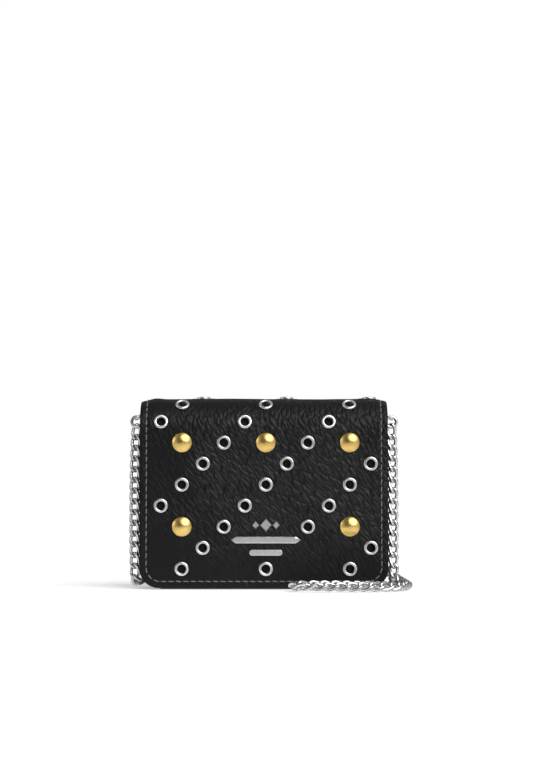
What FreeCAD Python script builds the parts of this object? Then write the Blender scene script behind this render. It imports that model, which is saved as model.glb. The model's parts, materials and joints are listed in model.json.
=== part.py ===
import FreeCAD, Part
import math
import os

from FreeCAD import Vector

# A mini flap wallet on a chain, standing upright. Millimetres, +Z up, the flap faces -Y, +X to the
# right as seen from the front. The origin is on the standing surface, under the middle of the wallet.

# ---- driving dimensions ----
WIDTH = 114.3  # across the flap and the back
HEIGHT = 88.0  # to the crest of the top fold
CORNER_R = 9.0  # lower corners of the flap and the back
SHOULDER_R = 16.8  # the fold leaves the front and back faces on this radius
SHOULDER_DEG = 50.0  # and keeps it for this much of the turn
CREST_R = 12.4  # then turns over the top on this one

LEATHER_T = 1.3  # outer leather
BOARD_T = 1.0  # stiffener between leather and lining
LINING_T = 0.7
BOARD_INSET = 1.6  # stiffener and lining stop this far inside the leather's edge
LINING_INSET = 0.7
FLAP_FLOOR_GAP = 0.6  # the flap's lower edge hangs clear of the standing surface
HINGE_DEG = 30.0  # where on the rear shoulder the flap bends
HINGE_SLIT_DEG = 0.4
HINGE_LIFT = 0.3  # its axis lies this far outside the leather, so nothing rubs when it is folded back
WALL_T = 1.0  # front wall leather
SNAP_GAP = 2.2  # room between the flap's lining and the front wall
BODY_HALF_W = 55.3
FRONT_WALL_Z = 70.0
BASE_T = 1.4
BASE_HALF_W = 47.9  # between the gussets' valleys

GRID_PITCH = 9.65  # eyelets and domes sit on one square grid that follows the surface
GRID_X = 0.9  # its middle column stands a little right of centre
GRID_ROWS = 10
GRID_COLUMNS = 11
FIRST_ROW = 9.4  # height of its lowest row
EYELETS = {0: (2, 6, 10), 1: (1, 5, 9), 2: (0, 4, 8), 3: (3, 7), 4: (2, 6, 10),
           5: (1, 5, 9), 6: (0, 4, 8), 7: (3, 7), 8: (2, 10), 9: (1, 5, 9)}
DOMES = {3: (1, 5, 9), 7: (1, 9)}
EYELET_R = 3.3
EYELET_BORE_R = 1.98
EYELET_BARREL_R = 2.3
EYELET_H = 0.85
WASHER_R = 3.0
WASHER_T = 0.45
DOME_R = 4.45
DOME_H = 2.2
DOME_RIM_H = 0.3
POST_R = 1.1
RUN_CLEARANCE = 0.05  # of each shank in its hole
SEAT_CLEARANCE = 0.05  # under the folded leather

STITCH_INSET = 3.1
STITCH_CORNER_R = 6.4
THREAD_W = 0.5
THREAD_T = 0.25

SNAP_Z = 24.0
SNAP_SOCKET_R = 5.4
SNAP_SOCKET_BORE_R = 3.6
SNAP_SOCKET_H = 1.9
SNAP_STUD_R = 2.7
SNAP_STUD_H = 1.5
SNAP_FLANGE_R = 4.6
SNAP_FLANGE_T = 0.3
SNAP_CAP_T = 0.7

ORNAMENT_T = 0.8
ORNAMENT_BEVEL = 0.45

GUSSET_T = 0.8
GUSSET_OUT_X = 55.2  # ridges of the pleats
GUSSET_IN_X = 49.5  # valleys
GUSSET_TOP_Z = 69.0
GUSSET_FOOT_Z = 0.3
GUSSET_RIDGE_W = 0.9  # the ridges alone go down to the foot at the corners
DIVIDER_T = 1.0
DIVIDER_TOP_Z = 71.0
DIVIDER_HALF_W = 53.2
POCKET_T = 0.7
POCKET_HALF_W = 47.5
POCKET_TOPS = (42.0, 50.0, 58.0)  # front pocket first
POCKET_FOOT = 4.0
POCKET_NOTCH_R = 9.0

D_WIRE_R = 0.5
D_RING_HALF_W = 3.2
D_RING_REACH = 5.74
D_RING_LEAN_DEG = 48.5  # outwards from straight down, pulled by the chain
D_RING_X = 55.6
D_RING_Z = 82.2
END_WIRE_R = 0.75
END_RING_R = 2.45
END_RING_X = 59.5
END_RING_Z = 77.35
TAB_T = 0.65
TAB_HALF_W = 2.4
TAB_FOOT_Z = 64.0
TAB_BORE_GAP = 0.08

CHAIN_W = 5.2  # width across the links
CHAIN_X = 60.4  # the two hanging stretches, below their end rings
HANK_RUN = 15 * CHAIN_W
HANK_FOLD_R = 3 * CHAIN_W  # the tightest a limp chain is folded to put it away
HANK_TURNS = 3
HANK_PITCH = 2.9  # links lie flat, half as thick as they are wide
TIE_T = 0.6
TIE_HALF_W = 2.0
HANK_GAP = 4.5  # clear of the back

# ---- places that follow from them ----
HALF_DEPTH = (SHOULDER_R * (1 - math.cos(math.radians(SHOULDER_DEG)))
              + CREST_R * math.cos(math.radians(SHOULDER_DEG)))
FRONT_Y = DOME_H - (2 * HALF_DEPTH + DOME_H + THREAD_T) / 2  # outer face of the flap
BACK_Y = FRONT_Y + 2 * HALF_DEPTH
CREST_Y = FRONT_Y + HALF_DEPTH
SHOULDER_Z = (HEIGHT - CREST_R + CREST_R * math.sin(math.radians(SHOULDER_DEG))
              - SHOULDER_R * math.sin(math.radians(SHOULDER_DEG)))
PANEL_T = LEATHER_T + BOARD_T + LINING_T
WALL_Y = FRONT_Y + PANEL_T + SNAP_GAP  # outer face of the front wall
WALL_IN_Y = WALL_Y + WALL_T + LINING_T
BACK_IN_Y = BACK_Y - PANEL_T
DIVIDER_Y = (WALL_IN_Y + BACK_IN_Y) / 2 + 0.5 * DIVIDER_T  # its rear face
TAB_Y = DIVIDER_Y - 0.5 * DIVIDER_T
HINGE_Y = BACK_Y - SHOULDER_R + (SHOULDER_R + HINGE_LIFT) * math.cos(math.radians(HINGE_DEG))
HINGE_Z = SHOULDER_Z + (SHOULDER_R + HINGE_LIFT) * math.sin(math.radians(HINGE_DEG))
CHAIN_TOP_Z = END_RING_Z - END_RING_R - END_WIRE_R
CHAIN_R = CHAIN_W / 2
HANK_NEAR_Y = BACK_Y + HANK_GAP + CHAIN_R
HANK_Y = HANK_NEAR_Y + HANK_FOLD_R
HANK_LOW_Z = TIE_T + CHAIN_R
HANK_TOP_Z = HANK_LOW_Z + HANK_TURNS * HANK_PITCH
HANK_MOUTH_X = HANK_RUN / 2 + 8.0  # the chain enters and leaves the hank here
FAR = 200.0

# The chain's route: by hand where it hangs and lies, none of it lower than the standing surface.
LEFT_ROUTE = [
    (-END_RING_X, TAB_Y, CHAIN_TOP_Z), (-CHAIN_X, TAB_Y, 62.0), (-CHAIN_X, TAB_Y, 11.0),
    (-58.5, 7.5, 2.7), (-58.9, 20.0, 2.8), (-HANK_MOUTH_X, HANK_NEAR_Y, HANK_LOW_Z)]
RIGHT_ROUTE = [
    (END_RING_X, TAB_Y, CHAIN_TOP_Z), (CHAIN_X, TAB_Y, 62.0), (CHAIN_X, TAB_Y, 11.5),
    (60.2, -2.4, 2.6), (60.0, -13.0, 2.6), (57.4, -23.8, 2.6), (46.0, -27.0, 2.6), (30.0, -26.0, 2.6),
    (17.2, -25.4, 2.6), (12.2, -33.0, 2.6), (17.2, -40.4, 2.6), (31.0, -39.4, 2.6), (47.0, -39.8, 2.6),
    (60.0, -34.6, 2.6), (65.5, -21.0, 2.6), (65.6, -5.0, 2.6), (64.6, 9.5, 2.8), (60.8, 20.4, 5.2),
    (HANK_MOUTH_X, HANK_NEAR_Y, HANK_TOP_Z)]


# ---- small helpers ----
def polar(centre_y, centre_z, radius, degrees):
    a = math.radians(degrees)
    return Vector(0, centre_y + radius * math.cos(a), centre_z + radius * math.sin(a))


def arc(centre_y, centre_z, radius, start, end):
    points = [polar(centre_y, centre_z, radius, d) for d in (start, (start + end) / 2, end)]
    return Part.Arc(*points).toShape()


def line(a, b):
    return Part.LineSegment(a, b).toShape()


def face(edges):
    return Part.Face(Part.Wire(Part.sortEdges(edges)[0]))


def box(low, high):
    size = [b - a for a, b in zip(low, high)]
    return Part.makeBox(*size, Vector(*low))


def group(shapes):
    return Part.makeCompound(shapes)


def mirrored(shape):
    return shape.mirror(Vector(0, 0, 0), Vector(1, 0, 0))


def save(name, shape):
    solids = shape.Solids
    if not shape.isValid() or not solids or any(s.Volume <= 0 for s in solids):
        raise ValueError(name + " is not made of valid solids")
    shape.exportStep("parts/" + name + ".step")
    print(f"{name:22s} solids {len(solids):3d}  volume {sum(s.Volume for s in solids):10.1f}")


# ---- the wrap of leather round the wallet ----
def shoulder(front):
    """Centre of a lower arc of the fold."""
    return (FRONT_Y + SHOULDER_R if front else BACK_Y - SHOULDER_R), SHOULDER_Z


def flap_line(depth, foot_z, start=HINGE_DEG + HINGE_SLIT_DEG):
    """The flap's profile at this depth under its outer face, from this turn over the top to its foot."""
    rear_y, z = shoulder(False)
    front_y, _ = shoulder(True)
    crest_z = HEIGHT - CREST_R
    turn = 180 - SHOULDER_DEG
    low = Vector(0, FRONT_Y + depth, foot_z)
    rear = [] if start == SHOULDER_DEG else [arc(rear_y, z, SHOULDER_R - depth, start, SHOULDER_DEG)]
    return rear + [
        arc(CREST_Y, crest_z, CREST_R - depth, SHOULDER_DEG, 90),
        arc(CREST_Y, crest_z, CREST_R - depth, 90, turn),
        arc(front_y, z, SHOULDER_R - depth, turn, 180),
        line(polar(front_y, z, SHOULDER_R - depth, 180), low)]


def back_line(depth, foot_z, start=HINGE_DEG):
    """The back's profile at this depth under its outer face, from this turn down to its foot."""
    rear_y, z = shoulder(False)
    low = Vector(0, BACK_Y - depth, foot_z)
    fold = [] if start == 0 else [arc(rear_y, z, SHOULDER_R - depth, start, 0)]
    return fold + [line(polar(rear_y, z, SHOULDER_R - depth, 0), low)]


def flap_board_line(depth, foot_z):
    """The stiffener leaves the bend free on both sides of the hinge."""
    return flap_line(depth, foot_z, SHOULDER_DEG)


def back_board_line(depth, foot_z):
    return back_line(depth, foot_z, 0)


def layer(profile, outer, inner, foot_z):
    """A sheet between two depths, as wide as the wallet, with a square foot."""
    a, b = profile(outer, foot_z), profile(inner, foot_z)
    ends = [line(a[0].Vertexes[0].Point, b[0].Vertexes[0].Point),
            line(a[-1].Vertexes[1].Point, b[-1].Vertexes[1].Point)]
    sheet = face(a + b + ends).extrude(Vector(WIDTH, 0, 0))
    sheet.translate(Vector(-WIDTH / 2, 0, 0))
    return sheet


def outline(inset, foot_z, corner_r):
    """A tall rectangle with round lower corners, seen from the front, as a face in the XZ plane."""
    half, top, low = WIDTH / 2 - inset, HEIGHT + 20, foot_z + inset
    cut = corner_r * (1 - math.sqrt(0.5))
    right = Part.Arc(Vector(half - corner_r, 0, low), Vector(half - cut, 0, low + cut),
                     Vector(half, 0, low + corner_r)).toShape()
    left = Part.Arc(Vector(-half, 0, low + corner_r), Vector(cut - half, 0, low + cut),
                    Vector(corner_r - half, 0, low)).toShape()
    a, b = Vector(-half, 0, top), Vector(half, 0, top)
    return face([right, line(right.Vertexes[1].Point, b), line(b, a),
                 line(a, left.Vertexes[0].Point), left, line(left.Vertexes[1].Point,
                                                            right.Vertexes[0].Point)])


def trimmed(sheet, inset, foot_z, corner_r):
    cutter = outline(inset, foot_z, corner_r).extrude(Vector(0, 2 * FAR, 0))
    cutter.translate(Vector(0, -FAR, 0))
    return sheet.common(cutter)


def stitch_line(profile, foot_z):
    """The thread as one flat ribbon on the outer face, inside the edge."""
    ribbon = layer(profile, -THREAD_T, 0, foot_z)
    outer = trimmed(ribbon, STITCH_INSET - THREAD_W / 2, foot_z, STITCH_CORNER_R + THREAD_W / 2)
    inner = outline(STITCH_INSET + THREAD_W / 2, foot_z, STITCH_CORNER_R - THREAD_W / 2)
    cutter = inner.extrude(Vector(0, 2 * FAR, 0))
    cutter.translate(Vector(0, -FAR, 0))
    return outer.cut(cutter)


# ---- the grid of eyelets and domes ----
def grid_place(row, column):
    """Point on the flap's outer face, its outward normal's angle, and the fold's radius there."""
    along = FIRST_ROW + GRID_PITCH * (GRID_ROWS - 1 - row)
    x = GRID_X + GRID_PITCH * (column - (GRID_COLUMNS - 1) / 2)
    front_y, z = shoulder(True)
    past = along - SHOULDER_Z
    first = SHOULDER_R * math.radians(SHOULDER_DEG)
    if past <= 0:
        point, angle, radius = Vector(0, FRONT_Y, along), 180.0, 0.0
    elif past <= first:
        angle, radius = 180 - math.degrees(past / SHOULDER_R), SHOULDER_R
        point = polar(front_y, z, radius, angle)
    else:
        angle = 180 - SHOULDER_DEG - math.degrees((past - first) / CREST_R)
        radius = CREST_R
        point = polar(CREST_Y, HEIGHT - CREST_R, radius, angle)
    return Vector(x, point.y, point.z), angle, radius


def sag(radius, reach):
    """How far below the inner face of the folded leather a flat disc of this reach has to sit."""
    inner = radius - LEATHER_T
    return 0.0 if radius == 0 else inner - math.sqrt(inner ** 2 - reach ** 2) + SEAT_CLEARANCE


def turned(points, arcs):
    """A solid of revolution about +Z from (radius, height) points; arcs maps an index to a midpoint."""
    pts = [Vector(r, 0, h) for r, h in points]
    edges = []
    for i, p in enumerate(pts):
        q = pts[(i + 1) % len(pts)]
        if i in arcs:
            edges.append(Part.Arc(p, Vector(arcs[i][0], 0, arcs[i][1]), q).toShape())
        else:
            edges.append(line(p, q))
    return face(edges).revolve(Vector(0, 0, 0), Vector(0, 0, 1), 360)


def set_on_flap(shape, place):
    """Moves a piece made on +Z to a grid place, with +Z along the outward normal."""
    point, angle, _ = place
    a = math.radians(angle)
    turn = FreeCAD.Rotation(Vector(0, 0, 1), Vector(0, math.cos(a), math.sin(a)))
    moved = shape.copy()
    moved.Placement = FreeCAD.Placement(point, turn)
    return moved


def places(cells):
    return [grid_place(row, column) for row in sorted(cells) for column in cells[row]]


def eyelet(place):
    foot = -LEATHER_T - sag(place[2], WASHER_R) - WASHER_T - RUN_CLEARANCE
    top_r = 2.65
    return turned([(EYELET_BORE_R, foot), (EYELET_BARREL_R, foot), (EYELET_BARREL_R, 0),
                   (EYELET_R, 0), (EYELET_R, 0.25), (top_r, EYELET_H), (EYELET_BORE_R, 0.3)],
                  {4: (3.1, 0.68), 5: (2.16, 0.72)})


def washer(place, reach, bore_r):
    top = -LEATHER_T - sag(place[2], reach)
    return turned([(bore_r, top - WASHER_T), (reach, top - WASHER_T), (reach, top), (bore_r, top)], {})


def dome():
    ball_r = (DOME_R ** 2 + (DOME_H - DOME_RIM_H) ** 2) / (2 * (DOME_H - DOME_RIM_H))
    centre = DOME_H - ball_r
    middle = (math.asin((DOME_RIM_H - centre) / ball_r) + math.pi / 2) / 2
    crown = (ball_r * math.cos(middle), centre + ball_r * math.sin(middle))
    foot = -LEATHER_T - WASHER_T - RUN_CLEARANCE
    return turned([(0, foot), (POST_R, foot), (POST_R, 0), (DOME_R, 0), (DOME_R, DOME_RIM_H),
                   (0, DOME_H)], {4: crown})


def drill(cells, radius):
    """Holes for these places, square to the surface."""
    bit = Part.makeCylinder(radius, 2 * PANEL_T, Vector(0, 0, -PANEL_T), Vector(0, 0, 1))
    return [set_on_flap(bit, p) for p in places(cells)]


def make_flap():
    leather = trimmed(layer(flap_line, 0, LEATHER_T, FLAP_FLOOR_GAP), 0, FLAP_FLOOR_GAP, CORNER_R)
    leather = leather.cut(drill(EYELETS, EYELET_BARREL_R + RUN_CLEARANCE)
                          + drill(DOMES, POST_R + RUN_CLEARANCE))
    save("flap_leather", leather)
    board = layer(flap_board_line, LEATHER_T, LEATHER_T + BOARD_T, FLAP_FLOOR_GAP)
    board = trimmed(board, BOARD_INSET, FLAP_FLOOR_GAP, CORNER_R - BOARD_INSET)
    room = WASHER_R + 0.4
    snap_room = Part.makeCylinder(SNAP_FLANGE_R + 0.3, 2 * PANEL_T,
                                  Vector(0, FRONT_Y - PANEL_T, SNAP_Z), Vector(0, 1, 0))
    save("flap_stiffener", board.cut(drill(EYELETS, room) + drill(DOMES, room) + [snap_room]))
    lining = layer(flap_line, LEATHER_T + BOARD_T, PANEL_T, FLAP_FLOOR_GAP)
    lining = trimmed(lining, LINING_INSET, FLAP_FLOOR_GAP, CORNER_R - LINING_INSET)
    save("flap_lining", lining.cut(Part.makeCylinder(POST_R + RUN_CLEARANCE, 2 * PANEL_T,
                                                     Vector(0, FRONT_Y, SNAP_Z), Vector(0, 1, 0))))
    save("flap_stitching", stitch_line(flap_line, FLAP_FLOOR_GAP))
    save("eyelets", group([set_on_flap(eyelet(p), p) for p in places(EYELETS)]))
    save("eyelet_washers", group([set_on_flap(washer(p, WASHER_R, EYELET_BARREL_R + RUN_CLEARANCE), p)
                                  for p in places(EYELETS)]))
    save("dome_rivets", group([set_on_flap(dome(), p) for p in places(DOMES)]))
    save("dome_rivet_caps", group([set_on_flap(washer(p, WASHER_R, POST_R + RUN_CLEARANCE), p)
                                   for p in places(DOMES)]))


# ---- generic metal ornament on the flap ----
def bevelled(points, height, bevel):
    """A flat plate with sloping sides; the points are (x, z) round its middle, in order."""
    def ring(scale_in, y):
        size_x = max(abs(x) for x, _ in points)
        size_z = max(abs(z) for _, z in points)
        fx, fz = 1 - scale_in / size_x, 1 - scale_in / size_z
        pts = [Vector(x * fx, y, z * fz) for x, z in points]
        return Part.makePolygon(pts + [pts[0]])

    low = Part.Face(ring(0, 0)).extrude(Vector(0, -height / 2, 0))
    high = Part.makeLoft([ring(0, -height / 2), ring(bevel, -height)], True)
    return low.fuse(high).removeSplitter()


def lozenge(half_w, half_h):
    return [(-half_w, 0), (0, half_h), (half_w, 0), (0, -half_h)]


def make_ornament():
    middle = Vector(GRID_X, FRONT_Y, 0)
    crest = []
    for x, half_w, half_h in ((0, 2.6, 3.1), (-4.7, 1.6, 1.9), (4.7, 1.6, 1.9)):
        gem = bevelled(lozenge(half_w, half_h), ORNAMENT_T, ORNAMENT_BEVEL)
        gem.translate(middle + Vector(x, 0, 29.4))
        crest.append(gem)
    save("ornament_crest", group(crest))
    half_w, half_h, point = 16.3, 1.5, 2.6
    bar = bevelled([(-half_w, 0), (point - half_w, half_h), (half_w - point, half_h), (half_w, 0),
                    (half_w - point, -half_h), (point - half_w, -half_h)], ORNAMENT_T, ORNAMENT_BEVEL)
    bar.translate(middle + Vector(0, 0, 22.6))
    save("ornament_bar", bar)
    half_w, radius = 7.6, 1.35
    rod = [Part.makeCylinder(radius, ORNAMENT_T, Vector(x, 0, 0), Vector(0, -1, 0))
           for x in (radius - half_w, half_w - radius)]
    plate = box((radius - half_w, -ORNAMENT_T, -radius), (half_w - radius, 0, radius))
    oval = plate.fuse(rod).removeSplitter()
    front = [e for e in oval.Edges if all(abs(v.Point.y + ORNAMENT_T) < 1e-6 for v in e.Vertexes)]
    oval = oval.makeFillet(0.3, front)
    oval.translate(middle + Vector(0, 0, 16.8))
    save("ornament_oval", oval)


# ---- snap fastener between the flap and the front wall ----
def along_y(shape, y, direction):
    moved = shape.copy()
    moved.Placement = FreeCAD.Placement(
        Vector(0, y, SNAP_Z), FreeCAD.Rotation(Vector(0, 0, 1), Vector(0, direction, 0)))
    return moved


def make_snap():
    lining_y = FRONT_Y + PANEL_T
    wall = 0.8
    socket = turned([(SNAP_SOCKET_BORE_R, SNAP_FLANGE_T), (0, SNAP_FLANGE_T), (0, 0),
                     (SNAP_SOCKET_R, 0), (SNAP_SOCKET_R, SNAP_SOCKET_H - wall),
                     (SNAP_SOCKET_R - wall, SNAP_SOCKET_H), (SNAP_SOCKET_BORE_R, SNAP_SOCKET_H)], {})
    save("snap_socket", along_y(socket, lining_y, 1))
    rivet = turned([(0, 0), (POST_R, 0), (POST_R, -LINING_T), (SNAP_FLANGE_R, -LINING_T),
                    (SNAP_FLANGE_R, -LINING_T - SNAP_CAP_T), (0, -LINING_T - SNAP_CAP_T)], {})
    save("snap_socket_rivet", along_y(rivet, lining_y, 1))
    neck = 2.3
    stud = turned([(0, 0), (SNAP_FLANGE_R, 0), (SNAP_FLANGE_R, SNAP_FLANGE_T), (neck, SNAP_FLANGE_T),
                   (neck, 0.75), (SNAP_STUD_R, 1.0), (SNAP_STUD_R, 1.25), (neck, SNAP_STUD_H),
                   (0, SNAP_STUD_H)], {})
    save("snap_stud", along_y(stud, WALL_Y, -1))
    deep = WALL_T + LINING_T
    cap = turned([(0, 0), (POST_R, 0), (POST_R, -deep), (SNAP_FLANGE_R, -deep),
                  (SNAP_FLANGE_R, -deep - SNAP_CAP_T), (0, -deep - SNAP_CAP_T)], {})
    save("snap_stud_rivet", along_y(cap, WALL_Y, -1))


# ---- the body of the wallet ----
def make_back():
    back = trimmed(layer(back_line, 0, LEATHER_T, 0), 0, 0, CORNER_R)
    save("back_leather", back)
    board = layer(back_board_line, LEATHER_T, LEATHER_T + BOARD_T, 0)
    save("back_stiffener", trimmed(board, BOARD_INSET, 0, CORNER_R - BOARD_INSET))
    lining = layer(back_line, LEATHER_T + BOARD_T, PANEL_T, 0)
    save("back_lining", trimmed(lining, LINING_INSET, 0, CORNER_R - LINING_INSET))
    save("back_stitching", stitch_line(back_line, 0))


def foot_corners(reach=FAR):
    """What lies outside the flap's round lower corners, as far out as reach, for pieces behind them."""
    side = WIDTH / 2 - CORNER_R
    centre_z = FLAP_FLOOR_GAP + CORNER_R
    corner = box((side, -FAR, -1), (reach, FAR, centre_z))
    inside = Part.makeCylinder(CORNER_R, 2 * FAR, Vector(side, -FAR, centre_z), Vector(0, 1, 0))
    right = corner.cut(inside)
    return [right, mirrored(right)]


def make_front_wall():
    bore = Part.makeCylinder(POST_R + RUN_CLEARANCE, FAR, Vector(0, FRONT_Y, SNAP_Z), Vector(0, 1, 0))
    wall = box((-BODY_HALF_W, WALL_Y, 0), (BODY_HALF_W, WALL_Y + WALL_T, FRONT_WALL_Z))
    upright = [e for e in wall.Edges if e.Vertexes[0].Point.z > 1 and e.Vertexes[1].Point.z > 1
               and abs(e.Vertexes[0].Point.y - e.Vertexes[1].Point.y) > 0.1]
    save("front_wall_leather", wall.makeFillet(3.0, upright).cut([bore] + foot_corners()))
    edge = 0.6
    lining = box((-BODY_HALF_W + edge, WALL_Y + WALL_T, BASE_T),
                 (BODY_HALF_W - edge, WALL_IN_Y, FRONT_WALL_Z - edge))
    save("front_wall_lining", lining.cut([bore] + foot_corners()))
    low, half = 3.0, BODY_HALF_W - STITCH_INSET
    top = FRONT_WALL_Z - STITCH_INSET
    frame = box((-half, WALL_Y - THREAD_T, low), (half, WALL_Y, top))
    inner = box((THREAD_W - half, WALL_Y - 1, low - 1), (half - THREAD_W, WALL_Y + 1, top - THREAD_W))
    save("front_wall_stitching", frame.cut(inner))
    base = box((-BASE_HALF_W, WALL_Y + WALL_T, 0), (BASE_HALF_W, BACK_IN_Y, BASE_T))
    save("base_panel", base)


def make_gussets():
    """Each side is one strip folded in two pleats, with the divider's edge in the middle ridge."""
    y0, y4 = WALL_IN_Y + 0.05, BACK_IN_Y - 0.05
    ridge_y = TAB_Y
    ys = [y0, (y0 + ridge_y) / 2, ridge_y, (ridge_y + y4) / 2, y4]
    xs = [GUSSET_OUT_X, GUSSET_IN_X, GUSSET_OUT_X, GUSSET_IN_X, GUSSET_OUT_X]
    slope = (GUSSET_OUT_X - GUSSET_IN_X) / (ys[1] - ys[0])
    across = GUSSET_T * math.hypot(1, slope)
    outer = [Vector(x, y, GUSSET_FOOT_Z) for x, y in zip(xs, ys)]
    inner = [Vector(x - across, y, GUSSET_FOOT_Z) for x, y in zip(xs, ys)]
    ring = Part.makePolygon(outer + inner[::-1] + [outer[0]])
    strip = Part.Face(ring).extrude(Vector(0, 0, GUSSET_TOP_Z - GUSSET_FOOT_Z))
    right = strip.cut(foot_corners(GUSSET_OUT_X - GUSSET_RIDGE_W)[0])
    save("gusset_right", right)
    save("gusset_left", mirrored(right))


def make_divider():
    sheet = box((-DIVIDER_HALF_W, DIVIDER_Y - DIVIDER_T, BASE_T),
                (DIVIDER_HALF_W, DIVIDER_Y, DIVIDER_TOP_Z))
    save("divider", sheet.cut(foot_corners()))
    count = len(POCKET_TOPS)
    for i, top in enumerate(POCKET_TOPS):
        rear = DIVIDER_Y - DIVIDER_T - POCKET_T * (count - 1 - i)
        pocket = box((-POCKET_HALF_W, rear - POCKET_T, POCKET_FOOT), (POCKET_HALF_W, rear, top))
        notch = Part.makeCylinder(POCKET_NOTCH_R, 4 * POCKET_T,
                                  Vector(0, rear - 2 * POCKET_T, top + POCKET_NOTCH_R * 0.6),
                                  Vector(0, 1, 0))
        save("card_pocket_" + ("front", "middle", "rear")[i], pocket.cut(notch))


# ---- side tabs, D-rings and the chain's end rings ----
def d_ring_point(reach, y):
    """A point of the right D-ring's wire, this far from its bar."""
    a = math.radians(D_RING_LEAN_DEG)
    return Vector(D_RING_X + reach * math.sin(a), TAB_Y + y, D_RING_Z - reach * math.cos(a))


def rod(a, b):
    return Part.makeCylinder(D_WIRE_R, (b - a).Length, a, b - a)


def d_ring():
    knee = D_RING_REACH - D_RING_HALF_W
    ends = [d_ring_point(0, -D_RING_HALF_W), d_ring_point(0, D_RING_HALF_W)]
    knees = [d_ring_point(knee, -D_RING_HALF_W), d_ring_point(knee, D_RING_HALF_W)]
    pieces = [rod(ends[0], ends[1]), rod(ends[0], knees[0]), rod(ends[1], knees[1])]
    pieces += [Part.makeSphere(D_WIRE_R, p) for p in ends]
    path = Part.Wire([Part.Arc(knees[0], d_ring_point(D_RING_REACH, 0), knees[1]).toShape()])
    a = math.radians(D_RING_LEAN_DEG)
    tip = Part.Wire([Part.makeCircle(D_WIRE_R, knees[0], Vector(math.sin(a), 0, -math.cos(a)))])
    pieces.append(path.makePipeShell([tip], True, True))
    return pieces[0].fuse(pieces[1:])


def tab():
    """A strap sewn to the gusset's middle ridge, looped round the D-ring's bar."""
    bore_r = D_WIRE_R + TAB_BORE_GAP
    outer_r = bore_r + TAB_T
    low, across = TAB_Y - TAB_HALF_W, 2 * TAB_HALF_W
    loop = Part.makeCylinder(outer_r, across, Vector(D_RING_X, low, D_RING_Z), Vector(0, 1, 0))
    strap = box((GUSSET_OUT_X, low, TAB_FOOT_Z), (GUSSET_OUT_X + TAB_T, low + across, D_RING_Z))
    bore = Part.makeCylinder(bore_r, across + 2, Vector(D_RING_X, low - 1, D_RING_Z), Vector(0, 1, 0))
    return loop.fuse(strap).cut(bore)


def make_side_hardware():
    ring = d_ring()
    end_ring = Part.makeTorus(END_RING_R, END_WIRE_R, Vector(END_RING_X, TAB_Y, END_RING_Z),
                              Vector(0, 1, 0))
    for name, shape in (("d_ring", ring), ("side_tab", tab()), ("chain_end_ring", end_ring)):
        save(name + "_right", shape)
        save(name + "_left", mirrored(shape))


# ---- the chain, as a plain tube where it hangs and lies, and one solid for the part put away ----
def cord_tube(name, route, ends_at):
    """Straight runs joined by tangent arcs, each as large as its two runs allow, up to another solid."""
    pts = [Vector(*p) for p in route]
    edges, at, radii = [], pts[0], []
    for before, corner, after in zip(pts, pts[1:], pts[2:]):
        into, out = (corner - before).normalize(), (after - corner).normalize()
        half_turn = into.getAngle(out) / 2
        cut = 0.45 * min((corner - before).Length, (after - corner).Length)
        radius = cut / math.tan(half_turn)
        radii.append(round(radius, 1))
        start, end = corner - into * cut, corner + out * cut
        inward = (out - into).normalize()
        middle = corner + inward * (radius / math.cos(half_turn) - radius)
        edges += [line(at, start), Part.Arc(start, middle, end).toShape()]
        at = end
    edges.append(line(at, pts[-1]))
    path = Part.Wire(edges)
    ring = Part.Wire([Part.makeCircle(CHAIN_R, pts[0], pts[1] - pts[0])])
    tube = path.makePipeShell([ring], True, True)
    section = math.pi * CHAIN_R ** 2
    save(name, tube.cut(ends_at))
    print(f"  {name}: length {path.Length:.1f}, radii {radii}")
    print(f"  volume over section x length {tube.Volume / (section * path.Length):.4f}")
    return path.Length


def hank():
    """The outer shape of flat oblong turns lying on each other, with a mouth at each near corner."""
    low, high = HANK_LOW_Z - CHAIN_R, HANK_TOP_Z + CHAIN_R
    outer_r = HANK_FOLD_R + CHAIN_R
    half = HANK_RUN / 2
    body = box((-half, HANK_Y - outer_r, low), (half, HANK_Y + outer_r, high))
    ends = [Part.makeCylinder(outer_r, high - low, Vector(x, HANK_Y, low)) for x in (-half, half)]
    mouth = box((-HANK_MOUTH_X, HANK_NEAR_Y - CHAIN_R, low), (HANK_MOUTH_X, HANK_NEAR_Y + CHAIN_R, high))
    return body.fuse(ends + [mouth]).removeSplitter()


def make_chain():
    stack = hank()
    save("chain_hank", stack)
    length = cord_tube("chain_left_run", LEFT_ROUTE, stack)
    length += cord_tube("chain_right_run", RIGHT_ROUTE, stack)
    outer_r = HANK_FOLD_R + CHAIN_R
    low, high = HANK_LOW_Z - CHAIN_R, HANK_TOP_Z + CHAIN_R
    band = box((-TIE_HALF_W, HANK_Y - outer_r - TIE_T, low - TIE_T),
               (TIE_HALF_W, HANK_Y + outer_r + TIE_T, high + TIE_T))
    hollow = box((-TIE_HALF_W - 1, HANK_Y - outer_r, low), (TIE_HALF_W + 1, HANK_Y + outer_r, high))
    save("hank_tie", band.cut(hollow))
    turn = 2 * HANK_RUN + 2 * math.pi * HANK_FOLD_R
    stowed = HANK_TURNS * turn + 2 * HANK_MOUTH_X
    print(f"  chain: {length:.0f} in runs, {stowed:.0f} in the hank, {length + stowed:.0f} in all")


os.makedirs("parts", exist_ok=True)
make_flap()
make_ornament()
make_snap()
make_back()
make_front_wall()
make_gussets()
make_divider()
make_side_hardware()
make_chain()
print(f"front {FRONT_Y:.3f} back {BACK_Y:.3f} hinge y {HINGE_Y:.3f} z {HINGE_Z:.3f}")
print(f"front wall {WALL_Y:.3f}..{WALL_IN_Y:.3f} divider {DIVIDER_Y:.3f} back inside {BACK_IN_Y:.3f}")
print(f"tab y {TAB_Y:.3f} chain top {CHAIN_TOP_Z:.3f} hank near {HANK_NEAR_Y:.3f} top {HANK_TOP_Z:.3f}")
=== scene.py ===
import json
import math

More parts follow.
